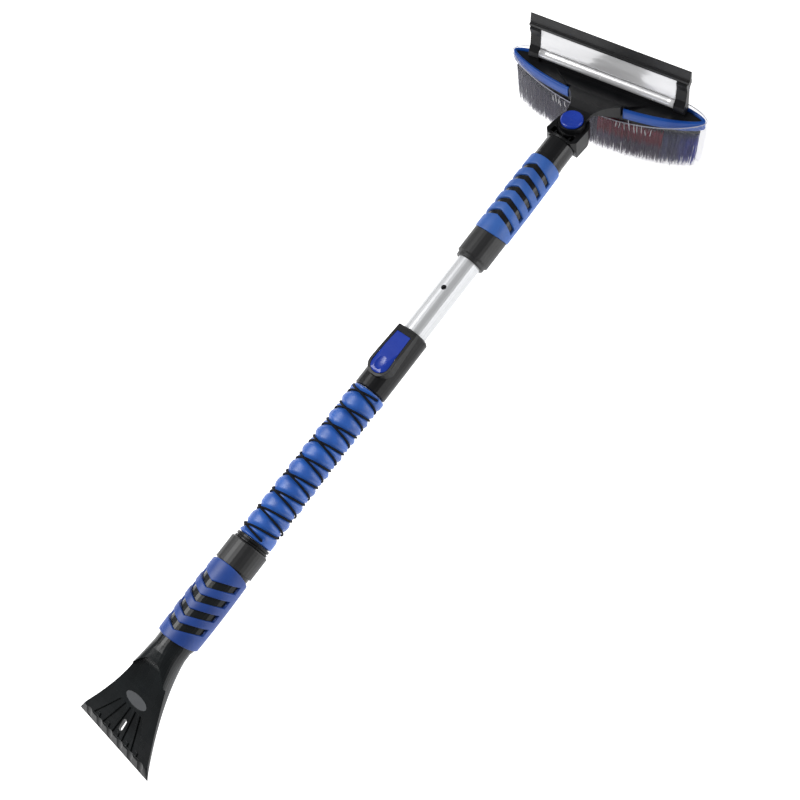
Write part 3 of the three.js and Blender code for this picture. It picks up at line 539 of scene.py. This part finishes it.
def cord_angle(turns, hand):
    """A cord's angle round the pole. The cords cross near the top line once a turn, further round at first."""
    swing = max(0.0, 1 - turns / CROSSING["count"]) ** 2
    return math.radians(CROSSING["facing"] + CROSSING["swing"] * swing) - hand * turns * 2 * math.pi


def cord_place(turns, hand):
    """How far along the pole a cord is after some turns. It leans less on the -Y side than on the +Y side."""
    lean = hand * CORD["lean"] * (1 - math.cos(turns * 2 * math.pi)) / 2
    return CROSSING["first"] + CORD["pitch"] * (turns - lean)


def cord_turns():
    first, last, steps = CORD["first_turn"], CORD["last_turn"], CORD["steps"]
    return [first + (last - first) * i / steps for i in range(steps + 1)]


def cord_points(hand):
    """The first cord lies on the foam and the second is lifted over it where they cross."""
    points = []
    for turns in cord_turns():
        away = 2 * turns - round(2 * turns)
        lift = CORD["lift"] * math.exp(-((away / 0.13) ** 2)) if hand < 0 else 0
        place, angle = cord_place(turns, hand), cord_angle(turns, hand)
        points.append(Vector(round_the_pole(place, CORD["at"] + lift, angle)))
    return points


def cord_crossings(angle):
    """The places along the pole where the cords cross a line at that angle."""
    places = []
    for hand in (1, -1):
        last_off, last_place = None, None
        for turns in cord_turns():
            off = (cord_angle(turns, hand) - angle + math.pi) % (2 * math.pi) - math.pi
            place = cord_place(turns, hand)
            if last_off is not None and last_off * off <= 0 and abs(off - last_off) < 1:
                share = last_off / (last_off - off) if off != last_off else 0
                places.append(last_place + (place - last_place) * share)
            last_off, last_place = off, place
    return places


def foam_grip():
    """A foam tube that swells between the turns of its cords, with rounded ends."""
    columns, rows = 112, 190
    slope = CORD["pitch"] / (2 * math.pi * CORD["at"])
    crossings = [cord_crossings(2 * math.pi * column / columns) for column in range(columns)]
    points = []
    for row in range(rows + 1):
        x = FOAM_START + (FOAM_END - FOAM_START) * row / rows
        from_end = min(x - FOAM_START, FOAM_END - x)
        rounding = math.sqrt(max(0.0, 1 - (1 - min(1.0, from_end / 2.6)) ** 2))
        for column in range(columns):
            away = min(abs(x - place) for place in crossings[column]) / math.hypot(1, slope)
            pressed = math.exp(-((away / FOAM["spread"]) ** 2))
            swollen = FOAM["crest"] - (FOAM["crest"] - FOAM["valley"]) * pressed
            angle = 2 * math.pi * column / columns
            points.append(round_the_pole(x, FOAM["neck"] + (swollen - FOAM["neck"]) * rounding, angle))
    piece = build("foam_grip_skin", POLE, points, grid_faces(rows + 1, columns), LOOKS["blue_foam"], "pole",
                  ["foam_grip"])


def grip_cords():
    first, first_faces, first_uvs = tube(cord_points(1), CORD["radius"], 8)
    second, second_faces, second_uvs = tube(cord_points(-1), CORD["radius"], 8)
    shifted = [tuple(index + len(first) for index in face) for face in second_faces]
    build("wound_cords", POLE, first + second, first_faces + shifted, LOOKS["black_cord"], "pole",
          ["grip_cord"], uvs=first_uvs + second_uvs)


# ---------------------------------------------------------------- grip sleeves

def sleeve_columns(reach):
    """Angles round the sleeve in degrees from its top line, closest together where the chevrons' arms end."""
    half = [reach * i / 16 for i in range(16)]
    half += [reach - 2.5, reach - 1.2, reach - 0.5, reach, reach + 0.5, reach + 1.3, reach + 2.6]
    half += [reach + 6 + (176 - reach - 6) * i / 12 for i in range(13)]
    half = sorted(set(half))
    return [-angle for angle in reversed(half[1:])] + half


def grip_sleeve(name, size, look, body, node):
    """A rubber sleeve on the pole. Its grid follows the chevrons, which have rounded lips and open floors."""
    thickness = size["radii"][0] - size["core"]
    lip = [(-1.3, 0.0), (-0.7, 0.08), (-0.25, 0.3), (0.0, 0.75), (0.12, thickness + 0.4)]
    columns = sleeve_columns(size["reach"])
    centres = [size["first"] + i * size["pitch"] for i in range(size["count"])]
    rows = []
    for drop, step in ((thickness, 0.0), (0.9, 0.0), (0.3, 0.25), (0.06, 0.7), (0.0, 1.2)):
        rows.append((size["start"] + step, 0.0, drop, 0.0, -size["bows"][0]))
    for centre in centres:
        low, high = centre - size["stroke"] / 2, centre + size["stroke"] / 2
        rows += [(low + away, 1.0, 0.0, drop, 0.0) for away, drop in lip]
        rows += [(high - away, 1.0, 0.0, drop, 0.0) for away, drop in reversed(lip)]
        if centre != centres[-1]:
            rows.append((centre + size["pitch"] / 2, 1.0, 0.0, 0.0, 0.0))
    for drop, step in ((0.0, 1.2), (0.06, 0.7), (0.3, 0.25), (0.9, 0.0), (thickness, 0.0)):
        rows.append((size["end"] - step, 0.0, drop, 0.0, size["bows"][1]))
    points, open_floor = [], []
    for x, sheared, end_drop, lip_drop, bow in rows:
        for degrees in columns:
            angle = math.radians(degrees)
            turned = min(abs(degrees), size["reach"])
            falling = 1 - 0.4 * max(0.0, abs(degrees) - size["reach"]) / (180 - size["reach"])
            place = x + sheared * size["sweep"] * turned / size["reach"] * falling + bow * math.cos(angle)
            away = size["reach"] - abs(degrees)
            arm_drop = (thickness + 0.4) * smoothstep(away, -1.0, 0.6) ** 2
            drop = max(end_drop, min(lip_drop, arm_drop))
            along = (place - size["start"]) / (size["end"] - size["start"])
            radius = size["radii"][0] + (size["radii"][1] - size["radii"][0]) * min(1.0, max(0.0, along))
            radius += size["grows"] * math.sin(math.pi * min(1.0, max(0.0, along)))
            points.append(round_the_pole(place, radius - drop, angle))
            open_floor.append(drop > thickness + 0.3)
    faces = [face for face in grid_faces(len(rows), len(columns)) if not all(open_floor[i] for i in face)]
    build(name, POLE, points, faces, look, body, [node])


# ---------------------------------------------------------------- brush head

def boat(margin, sweep, side):
    """A point on the head's outline grown by a margin: side -1 is its front arc and 1 its rear arc."""
    y = (BOAT["half"] + margin) * math.sin(sweep)
    front = BOAT["front"] - margin + BOAT["front_curve"] * y * y
    rear = BOAT["rear"] + margin - BOAT["rear_curve"] * y * y
    depth = (rear - front) / 2 * math.sqrt(1 - math.sin(sweep) ** 8)
    return (front + rear) / 2 + side * depth, y + BOAT["shift"]


def boat_loop(steps):
    """Places round the outline, from the middle of its front, as (sweep, side) pairs."""
    front = [(math.pi * ((i + 0.5) / steps - 0.5), -1) for i in range(steps)]
    rear = [(sweep, 1) for sweep, _ in reversed(front)]
    loop = front + rear
    return loop[steps // 2:] + loop[:steps // 2]


def head_rim():
    """The blue rim round the plate: a rounded band, open at the front where the neck comes through."""
    width, bottom = RIM["width"], RIM["bottom"]
    section = [(width, bottom), (0.6, bottom), (0, bottom + 0.6), (0, -1.6), (0.35, -0.6), (1.1, -0.05),
               (2.1, 0.1), (3.1, -0.05), (3.85, -0.6), (width, -1.6)]
    loop = boat_loop(150)
    places = [place for place in loop if place[1] > 0 or abs(boat(0, *place)[1]) > RIM["neck"]]
    points = []
    for sweep, side in places:
        points += [(*boat(-inset, sweep, side), height) for inset, height in section]
    faces = grid_faces(len(places), len(section), closed_columns=True)
    faces.append(tuple(range(len(section))))
    faces.append(tuple(reversed(range(len(points) - len(section), len(points)))))
    build("rim_band", HEAD, points, faces, LOOKS["blue_rim"], "head", ["head_rim"])


def front_and_rear(y, margin):
    """How far forward the outline's front and rear arcs lie at a place across the head."""
    reach = BOAT["half"] + margin
    y -= BOAT["shift"]
    if abs(y) >= reach:
        return None
    front = BOAT["front"] - margin + BOAT["front_curve"] * y * y
    rear = BOAT["rear"] + margin - BOAT["rear_curve"] * y * y
    depth = (rear - front) / 2 * math.sqrt(1 - (abs(y) / reach) ** 8)
    middle = (front + rear) / 2
    return middle - depth, middle + depth


def strand(points, faces, shares, root, tip, radius, lean):
    """Adds one bristle: a thin three-sided bar that bends a little and tapers towards its tip."""
    segments = 3
    start = len(points)
    twist = lean * 2.0
    for step in range(segments + 1):
        share = step / segments
        centre = root.lerp(tip, share)
        centre.x += lean * share * (1 - share) * 3
        thick = radius * (1.15 - 0.45 * share)
        for side in range(3):
            angle = 2 * math.pi * side / 3 + twist
            points.append((centre.x + thick * math.cos(angle), centre.y + thick * math.sin(angle), centre.z))
            shares.append(share)
    for step in range(segments):
        for side in range(3):
            a = start + 3 * step + side
            b = start + 3 * step + (side + 1) % 3
            faces.append((a, b, b + 3, a + 3))
    last = start + 3 * segments
    faces.append((last, last + 1, last + 2))


def bristle_field(name, low, high, slot, node, chance):
    """Tufts in staggered rows, each a bundle of bristles that spreads towards its cut tips."""
    points, faces, shares = [], [], []
    pitch = BRISTLE["pitch"]
    rows = int((2 * BOAT["half"]) / (pitch * 0.87)) + 1
    for row in range(rows):
        y = BOAT["shift"] - BOAT["half"] + row * pitch * 0.87
        span = front_and_rear(y, -BRISTLE["inset"]) if low <= y < high else None
        if span is None:
            continue
        count = max(1, int((span[1] - span[0]) / pitch))
        for i in range(count + 1):
            x = span[0] + (span[1] - span[0]) * (i + (0.25 if row % 2 else -0.25)) / count
            x = min(span[1], max(span[0], x))
            outward = (2 * (x - span[0]) / (span[1] - span[0]) - 1) * 2.2
            for _ in range(BRISTLE["per_tuft"]):
                angle = chance.uniform(0, 2 * math.pi)
                spread = chance.uniform(0.2, 1.0)
                root = Vector((
                    x + 1.5 * spread * math.cos(angle),
                    y + 1.5 * spread * math.sin(angle),
                    BRISTLE["root"],
                ))
                tip = Vector((
                    x + outward + chance.gauss(0, 1.0) + 1.8 * math.cos(angle),
                    (y + chance.gauss(0, 1.0) + 1.8 * math.sin(angle)) * (1 - BRISTLE["taper"]),
                    BRISTLE["tip"] + abs(chance.gauss(0, 0.9)),
                ))
                radius = BRISTLE["radius"] * chance.uniform(0.8, 1.2)
                strand(points, faces, shares, root, tip, radius, chance.uniform(-1, 1))
    build(name, HEAD, points, faces, LOOKS[slot], "head", [node], shares=shares)


def all_bristles():
    chance = random.Random(SEED)
    bristle_field("bristle_tufts_left", RED_FROM, 200, "grey_bristle", "bristles_left", chance)
    bristle_field("bristle_tufts_middle", RED_TO, RED_FROM, "red_bristle", "bristles_middle", chance)
    bristle_field("bristle_tufts_right", -200, RED_TO, "blue_bristle", "bristles_right", chance)


def guard_top(sweep, side):
    x, y = boat(GUARD["outset"], sweep, side)
    front_top = GUARD["front"] + GUARD["rise"] * (y / BOAT["half"]) ** 2
    return front_top + (GUARD["rear"] - front_top) * smoothstep(x, 78, 92)


def guard_point(sweep, side, inward, height):
    x, y = boat(GUARD["outset"] - inward, sweep, side)
    depth = min(1.0, max(0.0, (BRISTLE["root"] - height) / (BRISTLE["root"] - BRISTLE["tip"])))
    return x, y * (1 - BRISTLE["taper"] * depth), height


def guard_film():
    """The clear sleeve round the bristles. Its front edge dips in the middle and climbs at both ends."""
    loop = boat_loop(110)
    heights = 14
    points = []
    for sweep, side in loop:
        top = guard_top(sweep, side)
        for wall, order in ((0, range(heights + 1)), (GUARD["wall"], reversed(range(heights + 1)))):
            for i in order:
                share = i / heights
                tuck = 2.2 * smoothstep(share, 0.86, 1.0)
                points.append(guard_point(sweep, side, wall + tuck, top + (GUARD["bottom"] - top) * share))
    faces = grid_faces(len(loop), 2 * (heights + 1), closed_rows=True, closed_columns=True)
    build("guard_film", HEAD, points, faces, LOOKS["clear_film"], "guard", ["bristle_guard"])


def guard_edge():
    """The folded edge along the top of the film, which catches the light."""
    line = []
    for sweep, side in boat_loop(110):
        line.append(Vector(guard_point(sweep, side, GUARD["wall"] / 2, guard_top(sweep, side))))
    line.append(line[0].copy())
    points, faces, _ = tube(line, 0.55, 6)
    build("guard_edge", HEAD, points, faces, FILM_EDGE, "guard")


def stray_bristles(chance):
    """Pale bristles that stick up in the gap between the rim and the film, along the front."""
    points, faces, shares = [], [], []
    for y in STRAY_PLACES:
        front, _ = front_and_rear(y, 0.4)
        root = Vector((front, y, -29 - chance.uniform(0, 5)))
        tip = root + Vector((chance.uniform(-0.5, 0.3), chance.uniform(-1.8, 1.8), chance.uniform(8, 16)))
        strand(points, faces, shares, root, tip, 0.42, chance.uniform(-1, 1))
    build("stray_bristles", HEAD, points, faces, STRAY_LOOK, "head", shares=shares)


# ---------------------------------------------------------------- squeegee

def swept_across(section, half, steps):
    """Points and faces of a closed section swept across the head. section(y) gives its (x, height) points."""
    points = []
    for i in range(steps + 1):
        y = -half + 2 * half * i / steps
        points += [(x, y, height) for x, height in section(y)]
    count = len(section(0.0))
    faces = grid_faces(steps + 1, count)
    faces.append(tuple(range(count)))
    faces.append(tuple(reversed(range(len(points) - count, len(points)))))
    return points, faces


def panel_section(y):
    """The panel leans back and hollows a little, with soft waves in its film right of the middle."""
    heights = [PANEL["low"] + PANEL["tall"] * i / PANEL["steps"] for i in range(PANEL["steps"] + 1)]
    section = []
    for height in heights:
        share = (height - PANEL["low"]) / PANEL["tall"]
        face = PANEL["front"] + PANEL["lean"] * share - PANEL["hollow"] * share * share
        across = (y + PANEL["wave_at"] + 30 * (share - 0.5)) / 26
        wavy = math.exp(-(across ** 2)) * math.sin(math.pi * share)
        ripple = math.sin(11 * share + 0.06 * y) + 0.5 * math.sin(19 * share - 0.09 * y)
        section.append((face + wavy * (0.2 * ripple - 0.3), height))
    return section + [(85.2, 43.5), (84.9, 30), (83.4, 16.2)]


def squeegee_panel():
    points, faces = swept_across(panel_section, SQUEEGEE_HALF, 150)
    build("silver_panel", HEAD, points, faces, LOOKS["mirror_film"], "head",
          ["squeegee_panel"])


def strip_section(_):
    x, height, radius, steps = STRIP["x"], STRIP["height"], STRIP["radius"], STRIP["steps"]
    arc = [math.radians(STRIP["from"] + STRIP["sweep"] * i / steps) for i in range(steps + 1)]
    bulge = [(x + radius * math.cos(angle), height + radius * math.sin(angle)) for angle in arc]
    return bulge + [(79.4, 4.9), (82.2, 9.4), (83, 14.6)]


def squeegee_strip():
    points, faces = swept_across(strip_section, SQUEEGEE_HALF, 20)
    build("silver_strip", HEAD, points, faces, STRIP_LOOK, "head", ["squeegee_strip"])


# ---------------------------------------------------------------- camera, floor and light

def camera():
    data = bpy.data.cameras.new("camera")
    data.lens = LENS
    data.sensor_width = 36
    data.clip_end = 50
    viewer = bpy.data.objects.new("camera", data)
    right = CAMERA_RIGHT.normalized()
    back = right.cross(CAMERA_UP).normalized()
    up = back.cross(right)
    turn = Matrix((right, up, back)).transposed().to_4x4()
    viewer.matrix_world = Matrix.Translation(Vector(JOINTS["head_swivel"]["pos_m"]) + CAMERA_OFFSET) @ turn
    bpy.context.scene.collection.objects.link(viewer)
    bpy.context.scene.camera = viewer


def area_light(name, place, aim, size, power):
    data = bpy.data.lights.new(name, "AREA")
    data.shape = "RECTANGLE"
    data.size, data.size_y = size
    data.energy = power
    lamp = bpy.data.objects.new(name, data)
    lamp.location = place
    lamp.rotation_euler = (Vector(aim) - Vector(place)).to_track_quat("-Z", "Y").to_euler()
    bpy.context.scene.collection.objects.link(lamp)


def studio():
    mesh = bpy.data.meshes.new("studio_floor")
    reach = FLOOR_REACH
    corners = [(-reach, -reach, 0), (reach, -reach, 0), (reach, reach, 0), (-reach, reach, 0)]
    mesh.from_pydata(corners, [], [(0, 1, 2, 3)])
    look = Look("pale_floor", Specular_IOR_Level=0.2, Emission_Color=(1, 1, 1, 1), Emission_Strength=0.8)
    look.colour(look.ramp(look.noise(0.8), (0.3, (0.9, 0.9, 0.9)), (0.7, (0.92, 0.92, 0.92))))
    look.roughness(look.noise(3), 0.7, 0.8)
    mesh.materials.append(look.material)
    floor = bpy.data.objects.new("studio_floor", mesh)
    floor.location.z = cad_box[0][2] - 0.0005
    bpy.context.scene.collection.objects.link(floor)

    world = bpy.data.worlds.new("studio")
    bpy.context.scene.world = world
    world.use_nodes = True
    background = world.node_tree.nodes["Background"]
    background.inputs["Color"].default_value = (1, 1, 1, 1)
    background.inputs["Strength"].default_value = 0.22

    area_light("key", (-0.35, 1.15, 1.8), (-0.2, 0, 0.1), (1.4, 1.2), 40)
    area_light("from_the_right", (0.85, -1.6, 0.45), (0.15, 0, 0.1), (1.5, 0.7), 12)
    bpy.context.scene.view_settings.view_transform = "Standard"


# ---------------------------------------------------------------- the scene

camera()
dress_nodes()
foam_grip()
grip_cords()
grip_sleeve("lower_sleeve_rubber", LOWER_SLEEVE, LOOKS["deep_blue_grip"], "scraper",
            "lower_grip_sleeve")
grip_sleeve("upper_sleeve_rubber", UPPER_SLEEVE, LOOKS["bright_blue_grip"], "upper_pole",
            "upper_grip_sleeve")
head_rim()
all_bristles()
stray_bristles(random.Random(SEED + 1))
guard_film()
guard_edge()
squeegee_panel()
squeegee_strip()
studio()
